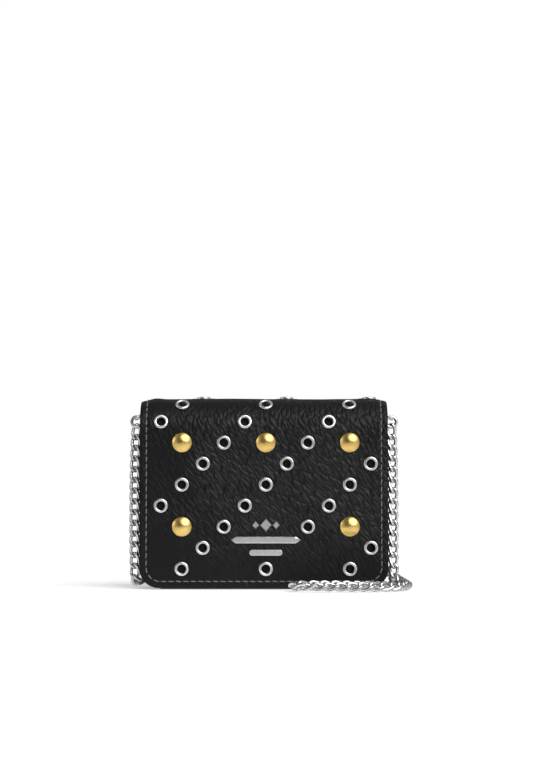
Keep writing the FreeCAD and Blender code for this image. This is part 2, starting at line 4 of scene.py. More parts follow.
import bpy
import numpy as np
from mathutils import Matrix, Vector
from mathutils import noise as field


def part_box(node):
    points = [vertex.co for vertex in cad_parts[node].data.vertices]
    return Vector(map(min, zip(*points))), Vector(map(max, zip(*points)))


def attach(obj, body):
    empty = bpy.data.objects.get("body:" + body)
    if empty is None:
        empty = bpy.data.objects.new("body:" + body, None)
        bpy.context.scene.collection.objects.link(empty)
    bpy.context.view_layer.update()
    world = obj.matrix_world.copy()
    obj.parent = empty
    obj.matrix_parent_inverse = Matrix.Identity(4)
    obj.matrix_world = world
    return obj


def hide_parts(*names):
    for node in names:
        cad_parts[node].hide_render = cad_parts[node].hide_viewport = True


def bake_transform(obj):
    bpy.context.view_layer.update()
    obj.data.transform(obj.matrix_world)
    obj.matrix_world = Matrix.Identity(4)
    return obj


# The looks of a small flap wallet on a chain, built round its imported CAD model. Metres, +Z up, front to -Y.

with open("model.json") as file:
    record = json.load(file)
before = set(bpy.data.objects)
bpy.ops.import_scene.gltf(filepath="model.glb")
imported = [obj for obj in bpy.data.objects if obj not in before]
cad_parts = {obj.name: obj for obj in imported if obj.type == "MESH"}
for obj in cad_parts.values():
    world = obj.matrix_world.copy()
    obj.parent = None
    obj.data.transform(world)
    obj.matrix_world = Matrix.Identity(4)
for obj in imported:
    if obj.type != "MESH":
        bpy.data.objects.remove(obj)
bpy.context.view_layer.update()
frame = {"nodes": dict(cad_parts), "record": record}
MM = 0.001
UP = np.array([0.0, 0.0, 1.0])

# ---- places read from the frame ----
FLAP_LOW, FLAP_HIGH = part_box("flap_leather")
HALF_W = FLAP_HIGH.x
FRONT_Y, TOP_Z, FLAP_FOOT = FLAP_LOW.y, FLAP_HIGH.z, FLAP_LOW.z
BACK_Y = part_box("back_leather")[1].y
HALF_DEPTH = (BACK_Y - FRONT_Y) / 2
TAB_Y = (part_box("chain_end_ring_right")[0].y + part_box("chain_end_ring_right")[1].y) / 2

# ---- the leather ----
CORNER_R = 9.0 * MM  # of the lower corners
SHOULDER_R = 16.8 * MM  # the top fold's front and rear bends
SHOULDER_TURN = math.radians(50)
CREST_R = 12.4 * MM  # and the bend between them
LEATHER_T = 1.3 * MM
LINING_DEPTH = 2.3 * MM  # below the outer face
LINING_T = 0.7 * MM
LINING_INSET = 0.7 * MM
EDGE_R = 0.45 * MM  # a sheet's rounded edge
EDGE_SHARE = 0.45  # of the sheet's thickness, at most, for each of its two edges
GUSSET_T = 0.7 * MM
GUSSET_IN_X = 49.5 * MM  # the pleats' inner ridges
STRAP_T = 0.6 * MM
GRID_STEP = 0.75 * MM  # between the points of the leather's mesh
PANEL_STEP = 1.6 * MM  # and of an inner panel's
SLUMP = 1.3 * MM  # how far the soft fold sinks at its two ends
SLUMP_W = 9.0 * MM  # how wide each sunken end is
SLUMP_REACH = 14.0 * MM  # and how far down from the top it is felt

# ---- stitches and fittings ----
STITCH_INSET = 3.1 * MM
STITCH_CORNER_R = 6.4 * MM
STITCH_PITCH = 3.4 * MM
STITCH_L = 2.7 * MM
STITCH_SINK = 0.16 * MM  # how far the row lies below the leather round it
STITCH_SLANT = 0.11 * MM  # sideways, at both ends of a stitch
STITCH_RISE = 0.16 * MM  # of a stitch's middle above its path
STITCH_DIP = 0.42 * MM  # of its ends below its middle
THREAD_R = 0.29 * MM
HOLE_R = 0.32 * MM  # a needle hole
HOLE_STRETCH = 1.25  # along the row
EYELET_R = 3.3 * MM
EYELET_HOLE_R = 2.4 * MM  # the leather's hole below an eyelet
DOME_R = 4.45 * MM

# ---- chain links ----
CHAIN_W = 5.2 * MM
LINK_PITCH = 5.0 * MM
LINK_WIRE_R = 0.80 * MM
LINK_HOOK = 1.1 * MM  # how far the end links reach into their rings
LINK_TWIST = math.radians(-44)  # of each end of a link
LINK_ROUNDNESS = 0.78  # 1 for an oval, less for flatter sides and ends
LINK_SETTLING = 0.06  # how much of its aim a link's flat side takes on in an eighth of a pitch

# ---- grain and light ----
LEATHER_RELIEF = 0.6 * MM
GRAIN_PAINTED_HIGHLIGHT = 3.2  # painted highlight: colour on top of the grain over colour between it
GRAIN_LEAN = 0.62  # sideways per millimetre down, low on the flap
GRAIN_TURN = 14.0  # millimetres over which the grain turns from upright to leaning
ROOM_DARK = 0.04
ROOM_LIGHT = 0.30
ROOM_SIDES = 0.45
ROOM_LEAN = (0.35, 0.75, 0.55)  # the room grows lighter this way
FLOOR_GLOW = 0.37
FLOOR_DIM = 0.45  # the floor's tone in reflections, away from the wallet
TABLE_R = 0.75

# ---- bends, from the flap's foot over the top to the back's: (centre y, centre z, radius, from, to) ----
SHOULDER_Z = TOP_Z - CREST_R + (CREST_R - SHOULDER_R) * math.sin(SHOULDER_TURN)
FRONT_RUN = SHOULDER_Z - FLAP_FOOT
FOLDS = [
    (FRONT_Y + SHOULDER_R, SHOULDER_Z, SHOULDER_R, math.pi, math.pi - SHOULDER_TURN),
    (FRONT_Y + HALF_DEPTH, TOP_Z - CREST_R, CREST_R, math.pi - SHOULDER_TURN, SHOULDER_TURN),
    (BACK_Y - SHOULDER_R, SHOULDER_Z, SHOULDER_R, SHOULDER_TURN, 0.0),
]
WRAP_LENGTH = FRONT_RUN + sum(r * (a - b) for _, _, r, a, b in FOLDS) + SHOULDER_Z

# ---- the chain's route, in millimetres: down from each ring, over the floor and into the hank. The right
# stretch is the CAD model's. The left one turns on to the floor a little lower than the CAD tube. ----
HANK_RUN = 15 * CHAIN_W
HANK_FOLD_R = 3 * CHAIN_W
HANK_TURNS = 3
HANK_PITCH = 2.9 * MM
HANK_NEAR_Y = BACK_Y + 4.5 * MM + CHAIN_W / 2
HANK_LOW_Z = 3.2 * MM
HANK_TOP_Z = HANK_LOW_Z + HANK_TURNS * HANK_PITCH
RIGHT_ROUTE = [
    (59.5, 2.925, 74.15), (60.4, 2.925, 62.0), (60.4, 2.925, 11.5), (60.2, -2.4, 2.6),
    (60.0, -13.0, 2.6), (57.4, -23.8, 2.6), (46.0, -27.0, 2.6), (30.0, -26.0, 2.6),
    (17.2, -25.4, 2.6), (12.2, -33.0, 2.6), (17.2, -40.4, 2.6), (31.0, -39.4, 2.6),
    (47.0, -39.8, 2.6), (60.0, -34.6, 2.6), (65.5, -21.0, 2.6), (65.6, -5.0, 2.6),
    (64.6, 9.5, 2.8), (60.8, 20.4, 5.2), (47.0, 22.05, 11.9)]
LEFT_ROUTE = [
    (-59.5, 2.925, 74.15), (-60.4, 2.925, 62.0), (-60.4, 2.6, 8.5), (-59.6, 5.5, 2.5),
    (-58.8, 14.0, 2.6), (-57.6, 20.8, 2.8), (-47.0, 22.05, 3.2)]


# ======== small helpers ========
def add_mesh(name, vertices, faces, material):
    mesh = bpy.data.meshes.new(name)
    mesh.from_pydata([tuple(v) for v in vertices], [], [tuple(f) for f in faces])
    mesh.polygons.foreach_set("use_smooth", [True] * len(mesh.polygons))
    mesh.materials.append(material)
    mesh.update()
    obj = bpy.data.objects.new(name, mesh)
    bpy.context.scene.collection.objects.link(obj)
    return obj


def unit(v):
    return v / np.maximum(np.linalg.norm(v, axis=-1, keepdims=True), 1e-12)


def bump(x, middle, width):
    """A smooth hump of height 1."""
    return np.exp(-((x - middle) / width) ** 2)


def run_along(line):
    """Each point's distance along a line."""
    gaps = np.linalg.norm(np.diff(line, axis=0), axis=1)
    return np.concatenate([[0], np.cumsum(gaps)])


def read_off(spots, at, values):
    """The three values at each of these distances along a line."""
    return np.stack([np.interp(spots, at, values[:, c]) for c in range(3)], axis=-1)


def strip_outward(line):
    """The normals of a strip that stands on a flat line, on the line's right."""
    tangent = unit(np.gradient(line, axis=0))
    return np.stack([tangent[:, 1], -tangent[:, 0]], axis=1)


def rough_field(points, size, seed):
    """Smooth noise about 0 at each point, with features of this size."""
    shift = Vector((seed * 7.3, seed * 3.1, seed * 5.7))
    return np.array([field.noise(Vector(p) / size + shift) for p in points])


def shell(name, outer, normal, thickness, edge, material, lay, holes=None, edge_r=EDGE_R):
    """A closed sheet. outer and normal are grids of points, edge is each point's distance from the
    sheet's edge, lay is each point's place on the flat sheet, and holes marks faces to leave out."""
    rows, columns = edge.shape
    rolled = edge_r - np.sqrt(np.maximum(edge_r ** 2 - (edge_r - np.minimum(edge, edge_r)) ** 2, 0))
    rolled = np.minimum(rolled, EDGE_SHARE * thickness)[..., None]
    top = outer - normal * rolled
    under = outer - normal * (thickness - rolled)
    vertices = np.concatenate([top.reshape(-1, 3), under.reshape(-1, 3)])
    count = rows * columns
    faces, open_edges = [], {}
    for i in range(rows - 1):
        for j in range(columns - 1):
            if holes is not None and holes[i, j]:
                continue
            a = i * columns + j
            quad = (a, a + 1, a + columns + 1, a + columns)
            faces.append(quad)
            faces.append(tuple(v + count for v in reversed(quad)))
            for p, q in zip(quad, quad[1:] + quad[:1]):
                if (q, p) in open_edges:
                    del open_edges[(q, p)]
                else:
                    open_edges[(p, q)] = True
    faces += [(q, p, p + count, q + count) for p, q in open_edges]
    used = sorted({v for f in faces for v in f})
    number = {v: i for i, v in enumerate(used)}
    faces = [tuple(number[v] for v in f) for f in faces]
    obj = add_mesh(name, vertices[used], faces, material)
    flat = np.concatenate([lay.reshape(-1, 2), lay.reshape(-1, 2)])[used]
    place = obj.data.attributes.new("lay", "FLOAT_VECTOR", "POINT")
    place.data.foreach_set("vector", np.pad(flat / MM, ((0, 0), (0, 1))).astype(np.float32).ravel())
    turn_out(obj)
    return obj


def add_tube(vertices, faces, rings):
    """Adds a tube through rings of points, closed at both ends."""
    first, sides = len(vertices), len(rings[0])
    for ring in rings:
        vertices.extend(ring)
    for i in range(len(rings) - 1):
        low, high = first + i * sides, first + (i + 1) * sides
        for m in range(sides):
            n = (m + 1) % sides
            faces.append((low + m, low + n, high + n, high + m))
    faces.append(tuple(first + m for m in reversed(range(sides))))
    faces.append(tuple(high + m for m in range(sides)))


def turn_out(obj):
    """Makes the faces of a closed mesh look outwards."""
    mesh = obj.data
    volume = 0.0
    for p in mesh.polygons:
        v = [mesh.vertices[i].co for i in p.vertices]
        for k in range(1, len(v) - 1):
            volume += v[0].dot(v[k].cross(v[k + 1]))
    if volume < 0:
        mesh.flip_normals()


# ======== materials ========
class Nodes:
    """Short calls for the nodes of one tree."""

    def __init__(self, tree):
        self.tree = tree

    def node(self, kind, inputs=(), **settings):
        made = self.tree.nodes.new(kind)
        for key, value in settings.items():
            setattr(made, key, value)
        for key, value in dict(inputs).items():
            if isinstance(value, bpy.types.NodeSocket):
                self.tree.links.new(value, made.inputs[key])
            else:
                made.inputs[key].default_value = value
        return made

    def math(self, operation, a, b=0.0, c=0.0):
        return self.node("ShaderNodeMath", {0: a, 1: b, 2: c}, operation=operation).outputs[0]

    def ramp(self, value, low, high, to_low=0.0, to_high=1.0):
        made = self.node("ShaderNodeMapRange", {"Value": value, "From Min": low, "From Max": high,
                                                "To Min": to_low, "To Max": to_high})
        made.interpolation_type = "SMOOTHSTEP"
        return made.outputs["Result"]


class Shader(Nodes):
    """A principled material."""

    def __init__(self, name, colour, roughness, **sockets):
        self.material = bpy.data.materials.new(name)
        self.material.use_nodes = True
        super().__init__(self.material.node_tree)
        self.surface = self.tree.nodes["Principled BSDF"]
        self.surface.inputs["Base Color"].default_value = (*colour, 1)
        self.surface.inputs["Roughness"].default_value = roughness
        for socket, value in sockets.items():
            self.surface.inputs[socket.replace("_", " ")].default_value = value

    def colour(self, value, low, high):
        made = self.node("ShaderNodeMix", {"Factor": value}, data_type="RGBA")
        made.inputs["A"].default_value = (*low, 1)
        made.inputs["B"].default_value = (*high, 1)
        return made.outputs["Result"]

    def link(self, value, socket):
        self.tree.links.new(value, self.surface.inputs[socket])

    def bump(self, height, strength, distance):
        made = self.node("ShaderNodeBump", {"Height": height, "Strength": strength, "Distance": distance})
        self.link(made.outputs["Normal"], "Normal")

    def noise(self, vector, scale, detail=2.0, roughness=0.5):
        made = self.node("ShaderNodeTexNoise", {"Vector": vector, "Scale": scale, "Detail": detail,
                                                "Roughness": roughness})
        return made.outputs["Fac"], made.outputs["Color"]


def lay_vector(shader):
    """The place on the flat sheet, in millimetres."""
    return shader.node("ShaderNodeAttribute", attribute_name="lay").outputs["Vector"]


def solid_vector(shader):
    """The place in the frame, in millimetres."""
    place = shader.node("ShaderNodeTexCoord").outputs["Object"]
    return shader.node("ShaderNodeVectorMath", {0: place, 3: 1 / MM}, operation="SCALE").outputs[0]


def pebbled_leather(name, colour=(0.0040, 0.0038, 0.0041)):
    """Black leather with pebbles drawn out along the creases that cross it. The grain is flatter at the
    left, the foot and the crest, and it turns from upright at the fold to leaning lower down. The pebble
    tops are painted lighter as a painted highlight."""
    s = Shader(name, colour, 0.36, Specular_IOR_Level=0.18)
    place = lay_vector(s)
    across, along, _ = s.node("ShaderNodeSeparateXYZ", {0: place}).outputs
    below = s.math("SUBTRACT", (WRAP_LENGTH / 2 - CREST_R) / MM, along)
    lean = s.math("SQRT", s.math("MULTIPLY_ADD", below, below, GRAIN_TURN ** 2))
    sheared = s.math("MULTIPLY_ADD", lean, -GRAIN_LEAN, across)
    _, wander = s.noise(place, 0.09, 2.0)
    drift = s.node("ShaderNodeVectorMath", {0: wander, 1: (3.2, 3.2, 0.0)}, operation="MULTIPLY")
    run = s.node("ShaderNodeCombineXYZ", {0: sheared, 1: along}).outputs[0]
    moved = s.node("ShaderNodeVectorMath", {0: run, 1: drift.outputs[0]}, operation="ADD").outputs[0]

    def cells(size, stretch, feature):
        shrink = (1 / size, 1 / (size * stretch), 1)
        scaled = s.node("ShaderNodeMapping", {"Vector": moved, "Scale": shrink}).outputs[0]
        made = s.node("ShaderNodeTexVoronoi", {"Vector": scaled, "Scale": 1.0},
                      feature=feature, voronoi_dimensions="2D")
        return made.outputs["Distance"]

    pebbles = s.ramp(cells(1.75, 1.5, "SMOOTH_F1"), 0.05, 0.75, 1.0, 0.0)
    fine = s.ramp(cells(0.8, 1.2, "F1"), 0.0, 0.7, 1.0, 0.0)
    creases = s.ramp(cells(2.6, 2.4, "DISTANCE_TO_EDGE"), 0.0, 0.24)
    broad, _ = s.noise(place, 0.05, 1.0)
    from_foot = s.math("PINGPONG", along, WRAP_LENGTH / 2 / MM)
    vigour = s.ramp(across, -50.0, -8.0, 0.3, 1.0)
    for fade in (s.ramp(from_foot, 5.0, 36.0, 0.25, 1.0), s.ramp(from_foot, 72.0, 86.0, 1.0, 0.45),
                 s.ramp(broad, 0.35, 0.6, 0.7, 1.15)):
        vigour = s.math("MULTIPLY", vigour, fade)
    height = s.math("MULTIPLY_ADD", pebbles, 0.5, s.math("MULTIPLY", fine, 0.08))
    height = s.math("MULTIPLY_ADD", creases, 0.55, height)
    height = s.math("MULTIPLY", height, vigour)
    # painted highlight: the pebble tops are painted lighter, most where the grain is strongest
    light = tuple(GRAIN_PAINTED_HIGHLIGHT * c for c in colour)
    s.link(s.colour(s.ramp(height, 0.2, 0.95), colour, light), "Base Color")
    s.link(s.ramp(height, 0.1, 1.0, 0.48, 0.31), "Roughness")
    s.bump(height, 1.0, LEATHER_RELIEF)
    return s.material


def smooth_leather(name, colour=(0.016, 0.016, 0.017)):
    """Finer, flatter leather for the inside."""
    s = Shader(name, colour, 0.5, Specular_IOR_Level=0.45)
    place = lay_vector(s)
    fine = s.node("ShaderNodeTexVoronoi", {"Vector": place, "Scale": 1.7}, feature="DISTANCE_TO_EDGE")
    grain = s.ramp(fine.outputs["Distance"], 0.0, 0.25)
    mottle, _ = s.noise(place, 0.3, 3.0)
    s.link(s.colour(mottle, tuple(0.7 * c for c in colour), tuple(1.3 * c for c in colour)), "Base Color")
    s.link(s.ramp(mottle, 0.3, 0.7, 0.44, 0.6), "Roughness")
    s.bump(s.math("MULTIPLY_ADD", grain, 0.5, mottle), 0.45, 0.00015)
    return s.material


def woven_lining(name):
    """Black plain weave."""
    s = Shader(name, (0.007, 0.007, 0.008), 0.8, Sheen_Weight=0.05, Specular_IOR_Level=0.3)
    place = lay_vector(s)
    threads = [s.node("ShaderNodeTexWave", {"Vector": place, "Scale": 0.55, "Distortion": 0.3},
                      wave_type="BANDS", bands_direction=way).outputs["Fac"] for way in "XY"]
    weave = s.math("MAXIMUM", *threads)
    s.link(s.colour(weave, (0.002, 0.002, 0.0022), (0.008, 0.008, 0.0085)), "Base Color")
    s.bump(weave, 0.5, 0.0001)
    return s.material


def thread(name):
    """Grey twisted thread."""
    s = Shader(name, (0.13, 0.13, 0.135), 0.6, Sheen_Weight=0.3)
    strands = s.node("ShaderNodeTexWave", {"Vector": solid_vector(s), "Scale": 2.2, "Distortion": 1.0},
                     wave_type="BANDS", bands_direction="DIAGONAL").outputs["Fac"]
    s.link(s.colour(strands, (0.07, 0.07, 0.072), (0.19, 0.19, 0.195)), "Base Color")
    s.bump(strands, 0.5, 0.00008)
    return s.material


def board(name):
    """Dark pressed fibre."""
    s = Shader(name, (0.02, 0.02, 0.02), 0.8)
    fibre, _ = s.noise(solid_vector(s), 3.0, 4.0)
    s.link(s.colour(fibre, (0.012, 0.012, 0.012), (0.035, 0.034, 0.033)), "Base Color")
    s.bump(fibre, 0.3, 0.0001)
    return s.material


def polished(name, colour, roughness, dull=0.12):
    """Plated metal with faint wear and handling marks."""
    s = Shader(name, colour, roughness, Metallic=1.0)
    place = solid_vector(s)
    wear, _ = s.noise(place, 0.6, 4.0, 0.6)
    marks, _ = s.noise(place, 5.0, 2.0)
    worn = tuple(c * (1 - dull) for c in colour)
    s.link(s.colour(s.ramp(wear, 0.35, 0.7), colour, worn), "Base Color")
    s.link(s.ramp(wear, 0.3, 0.75, roughness, roughness + 0.08), "Roughness")
    s.bump(marks, 0.03, 0.00002)
    return s.material


def chain_metal(name, colour, flank_shade, roughness):
    """Plated wire with painted shade: the flanks of the wire are painted much darker, varied a little by
    wear.
    """
    s = Shader(name, colour, roughness, Metallic=1.0)
    place = solid_vector(s)
    side = s.node("ShaderNodeAttribute", attribute_name="flank_shade").outputs["Fac"]
    wear, _ = s.noise(place, 0.8, 3.0, 0.6)
    # painted shade: darker colour on the wire's flanks, varied a little by wear noise
    dull = s.math("MULTIPLY", s.ramp(side, 0.6, 1.0), s.ramp(wear, 0.25, 0.6, 0.8, 1.0))
    s.link(s.colour(dull, colour, flank_shade), "Base Color")
    s.link(s.ramp(dull, 0.0, 1.0, roughness, roughness + 0.12), "Roughness")
    marks, _ = s.noise(place, 5.0, 2.0)
    s.bump(marks, 0.03, 0.00002)
    return s.material


def rubber(name):
    """Black rubber with a little dust."""
    s = Shader(name, (0.015, 0.015, 0.015), 0.6)
    dust, _ = s.noise(solid_vector(s), 0.8, 4.0)
    s.link(s.colour(dust, (0.01, 0.01, 0.01), (0.024, 0.024, 0.024)), "Base Color")
    s.link(s.ramp(dust, 0.3, 0.7, 0.5, 0.7), "Roughness")
    s.bump(dust, 0.2, 0.0001)
    return s.material


OUTER = pebbled_leather("outer_leather")
INNER = smooth_leather("inner_leather")
WEAVE = woven_lining("lining_weave")
THREAD = thread("edge_thread")
BOARD = board("stiffener_board")
NICKEL = polished("nickel", (0.74, 0.74, 0.75), 0.28)
GOLD = polished("gold_plate", (0.80, 0.56, 0.18), 0.28, 0.06)
# its second colour is the painted shade on the wire's flanks
CHAIN = chain_metal("chain_nickel", (0.70, 0.71, 0.72), (0.24, 0.24, 0.245), 0.24)
TIE = rubber("tie_rubber")


# ======== the leather that wraps the wallet ========
def wrap(s):
    """((y, z), normal's angle) at distance s along the outer face, from the flap's foot."""
    if s <= FRONT_RUN:
        return (FRONT_Y, FLAP_FOOT + s), math.pi
    s -= FRONT_RUN
    for y, z, radius, start, end in FOLDS:
        if s <= radius * (start - end):
            a = start - s / radius
            return (y + radius * math.cos(a), z + radius * math.sin(a)), a
        s -= radius * (start - end)
    return (BACK_Y, SHOULDER_Z - s), 0.0


def slump(x, z):
    """How far the soft fold sinks below its plain line at (x, z): most at its two ends."""
    near_top = np.clip((z - (TOP_Z - SLUMP_REACH)) / SLUMP_REACH, 0, 1) ** 2
    end = np.clip((abs(x) - (HALF_W - SLUMP_W)) / SLUMP_W, 0, 1) ** 2
    wrinkle = 0.45 * MM * bump(x, -0.88 * HALF_W, 3.4 * MM) + 0.2 * MM * bump(x, 0.83 * HALF_W, 4.0 * MM)
    sway = 0.12 * MM * np.sin(x / (13 * MM))
    return near_top * (SLUMP * end - wrinkle + sway)


def on_wrap(x, s, height=0.0):
    """Point and outward normal at (x, s), this far above the outer face."""
    (y, z), a = wrap(s)
    normal = np.array([0.0, math.cos(a), math.sin(a)])
    return np.array([x, y, z]) + normal * height - UP * slump(x, z), normal


def centres(node):
    """The middles of a CAD node's separate solids, each of them the corners that its edges join."""
    mesh = frame["nodes"][node].data
    points = np.array([v.co for v in mesh.vertices])
    merged = {}
    same = np.empty(len(points), int)
    merge_size = 0.002 * MM
    for i, p in enumerate(np.round(points / merge_size).astype(int)):
        same[i] = merged.setdefault(tuple(p), i)
    root = list(range(len(points)))

    def find(i):
        while root[i] != i:
            root[i] = root[root[i]]
            i = root[i]
        return i

    for e in mesh.edges:
        a, b = find(same[e.vertices[0]]), find(same[e.vertices[1]])
        root[a] = b
    groups = {}
    for i in range(len(points)):
        groups.setdefault(find(same[i]), []).append(points[i])
    return [(np.min(g, axis=0) + np.max(g, axis=0)) / 2 for g in groups.values()]


def places_on_wrap(node):
    """(x, s) of each solid of a node that is set in the flap."""
    along = np.arange(0, WRAP_LENGTH, 0.1 * MM)
    line = np.array([wrap(s)[0] for s in along])
    found = []
    for c in centres(node):
        nearest = np.argmin(np.hypot(line[:, 0] - c[1], line[:, 1] - c[2]))
        found.append((c[0], along[nearest]))
    return found


def steps(length, step, fine):
    """Places from 0 to length, close together at both ends."""
    middle = np.linspace(fine[-1], length - fine[-1], int((length - 2 * fine[-1]) / step) + 1)
    return np.concatenate([fine[:-1], middle, length - np.array(fine[:-1])[::-1]])


FINE = [0.0, 0.08 * MM, 0.2 * MM, 0.4 * MM, 0.7 * MM]  # the first rows of points from a sheet's edge


def wrap_grid(inset, corner_r, step):
    """A grid over the whole wrap whose sides and round corners are the leather's, drawn in by inset."""
    half = HALF_W - inset
    s = steps(WRAP_LENGTH - 2 * inset, step, FINE)
    u = steps(2 * half, step, FINE) / half - 1
    foot = np.minimum(s, s[-1] - s)
    drawn = np.where(foot < corner_r, corner_r - np.sqrt(np.maximum(
        corner_r ** 2 - (corner_r - np.minimum(foot, corner_r)) ** 2, 0)), 0.0)
    x = u[None, :] * (half - drawn)[:, None]
    s_grid = np.repeat((s + inset)[:, None], len(u), axis=1)
    away = np.minimum(half - np.abs(x), foot[:, None])
    beyond = np.abs(x) - (half - corner_r)
    low = corner_r - foot[:, None]
    at_corner = (beyond > 0) & (low > 0)
    away = np.where(at_corner, corner_r - np.hypot(np.maximum(beyond, 0), np.maximum(low, 0)), away)
    return x, s_grid, np.maximum(away, 0.0)


def snap_to_holes(x, s, holes):
    """Moves the grid's points on to each hole's rim, and marks the faces inside."""
    inside = np.zeros((x.shape[0] - 1, x.shape[1] - 1), bool)
    middle_x = (x[:-1, :-1] + x[1:, 1:]) / 2
    middle_s = (s[:-1, :-1] + s[1:, 1:]) / 2
    for hx, hs, radius in holes:
        inside |= np.hypot(middle_x - hx, middle_s - hs) < radius
    touched = np.zeros(x.shape, bool)
    for di, dj in ((0, 0), (0, 1), (1, 0), (1, 1)):
        touched[di:x.shape[0] - 1 + di, dj:x.shape[1] - 1 + dj] |= inside
    for hx, hs, radius in holes:
        dx, ds = x - hx, s - hs
        r = np.hypot(dx, ds)
        rim = touched & (r < radius + GRID_STEP) & (r > radius - GRID_STEP)
        full = np.zeros(x.shape, bool)
        full[1:-1, 1:-1] = inside[1:, 1:] & inside[1:, :-1] & inside[:-1, 1:] & inside[:-1, :-1]
        rim &= ~full
        x[rim] = hx + dx[rim] / r[rim] * radius
        s[rim] = hs + ds[rim] / r[rim] * radius
    return inside


EYELET_PLACES = places_on_wrap("eyelets")
DOME_PLACES = places_on_wrap("dome_rivets")


def leather_height(x, s, away):
    """How far the leather stands above its plain surface: a full edge, a sunken row of stitches with a
    crease beside it, a swelling round each fitting, and slow waves."""
    h = 0.10 * MM * bump(away, 1.5 * MM, 0.8 * MM)
    h -= STITCH_SINK * bump(away, STITCH_INSET, 0.45 * MM)
    h -= 0.07 * MM * bump(away, 2.1 * MM, 0.22 * MM)
    for cx, cs in EYELET_PLACES:
        r = np.hypot(x - cx, s - cs)
        h += 0.14 * MM * bump(r, EYELET_R + 1.1 * MM, 0.9 * MM)
    for cx, cs in DOME_PLACES:
        r = np.hypot(x - cx, s - cs)
        h += 0.12 * MM * bump(r, DOME_R + 1.0 * MM, 0.9 * MM)
    flat = np.stack([x.ravel(), s.ravel(), np.zeros(x.size)], axis=1)
    wave = rough_field(flat * [1.0, 0.7, 1.0], 21 * MM, 1) + 0.5 * rough_field(flat, 9 * MM, 2)
    inner = np.clip((away - 4 * MM) / (8 * MM), 0, 1)
    return h + 0.16 * MM * inner * wave.reshape(x.shape)


def wrap_sheet(name, depth, thickness, inset, corner_r, holes, material, relief):
    """One layer of the wrap, its outer face this deep below the leather's."""
    x, s, away = wrap_grid(inset, corner_r, GRID_STEP)
    inside = snap_to_holes(x, s, holes)
    points = np.empty((*x.shape, 3))
    normals = np.empty((*x.shape, 3))
    for i in range(x.shape[0]):
        for j in range(x.shape[1]):
            points[i, j], normals[i, j] = on_wrap(x[i, j], s[i, j], -depth)
    if relief is not None:
        points += normals * relief(x, s, away)[..., None]
    lay = np.stack([x, s], axis=-1)
    return shell(name, points, normals, thickness, away, material, lay, inside)


def bends_at_hinge(obj):
    """Bakes the sheet's transform into its points."""
    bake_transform(obj)


def make_wrap():
    """The outer leather with its eyelet holes, and the lining under it."""
    holes = [(x, s, EYELET_HOLE_R) for x, s in EYELET_PLACES]
    outer = wrap_sheet("leather_wrap", 0.0, LEATHER_T, 0.0, CORNER_R, holes, OUTER,
                       leather_height)
    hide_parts("flap_leather", "back_leather")
    bends_at_hinge(outer)
    lining = wrap_sheet("lining_wrap", LINING_DEPTH, LINING_T, LINING_INSET, CORNER_R - LINING_INSET,
                        [], WEAVE, None)
    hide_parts("flap_lining", "back_lining")
    bends_at_hinge(lining)


# ======== stitching ========
def needle_hole_shade(name, path, normals):
    """Painted shade: a dark plug in every needle hole between two stitches, standing for the shade in the
    hole.
    """
    at = run_along(path)
    count = max(1, round(at[-1] / STITCH_PITCH))
    turn = [2 * math.pi * m / 8 for m in range(8)]
    vertices, faces = [], []
    for k in range(count):
        spot = k * at[-1] / count
        centre = read_off(spot, at, path)
        normal = unit(read_off(spot, at, normals))
        along = unit(read_off(spot + 0.2 * MM, at, path) - centre)
        side = np.cross(along, normal)
        rim = [HOLE_R * (HOLE_STRETCH * math.cos(a) * along + math.sin(a) * side) for a in turn]
        foot, top = centre - 0.10 * MM * normal, centre + 0.07 * MM * normal
        add_tube(vertices, faces, [[foot + r for r in rim], [top + r for r in rim]])
    # the dark board colour of these plugs is painted shade
    obj = add_mesh(name, vertices, faces, BOARD)
    turn_out(obj)
    return obj


def stitch_row(name, path, normals):
    """Separate stitches along a path, each dipping into the leather at both ends."""
    at = run_along(path)
    count = max(1, round(at[-1] / STITCH_PITCH))
    t = np.linspace(-1, 1, 7)
    radii = [THREAD_R * (0.55 if abs(k) == 1 else 1.0) for k in t]
    turn = [2 * math.pi * m / 6 for m in range(6)]
    vertices, faces = [], []
    for k in range(count):
        middle = (k + 0.5) * at[-1] / count
        spots = middle + t / 2 * STITCH_L
        centre = read_off(spots, at, path)
        normal = unit(read_off(spots, at, normals))
        side = np.cross(unit(np.gradient(centre, axis=0)), normal)
        centre += normal * (STITCH_RISE - STITCH_DIP * t ** 4)[:, None] + side * (STITCH_SLANT * t)[:, None]
        rings = [[c + r * (math.cos(a) * n + math.sin(a) * q) for a in turn]
                 for c, r, n, q in zip(centre, radii, normal, side)]
        add_tube(vertices, faces, rings)
    obj = add_mesh(name, vertices, faces, THREAD)
    turn_out(obj)
    return obj


def wrap_stitch_path():
    """The closed line of stitches on the wrap, starting on the left of the back's foot."""
    half, radius = HALF_W - STITCH_INSET, STITCH_CORNER_R
    low, high = STITCH_INSET, WRAP_LENGTH - STITCH_INSET
    flat = [(-half, s) for s in np.arange(high - radius, low + radius, -0.5 * MM)]
    turn = np.linspace(0, math.pi / 2, 8)
    flat += [(-half + radius * (1 - math.cos(a)), low + radius * (1 - math.sin(a))) for a in turn]
    flat += [(half - radius * (1 - math.sin(a)), low + radius * (1 - math.cos(a))) for a in turn]
    flat += [(half, s) for s in np.arange(low + radius, high - radius, 0.5 * MM)]
    flat += [(half - radius * (1 - math.cos(a)), high - radius * (1 - math.sin(a))) for a in turn]
    flat += [(-half + radius * (1 - math.sin(a)), high - radius * (1 - math.cos(a))) for a in turn]
    flat.append(flat[0])
    made = [on_wrap(x, s, -STITCH_SINK) for x, s in flat]
    return np.array([p for p, _ in made]), np.array([n for _, n in made])


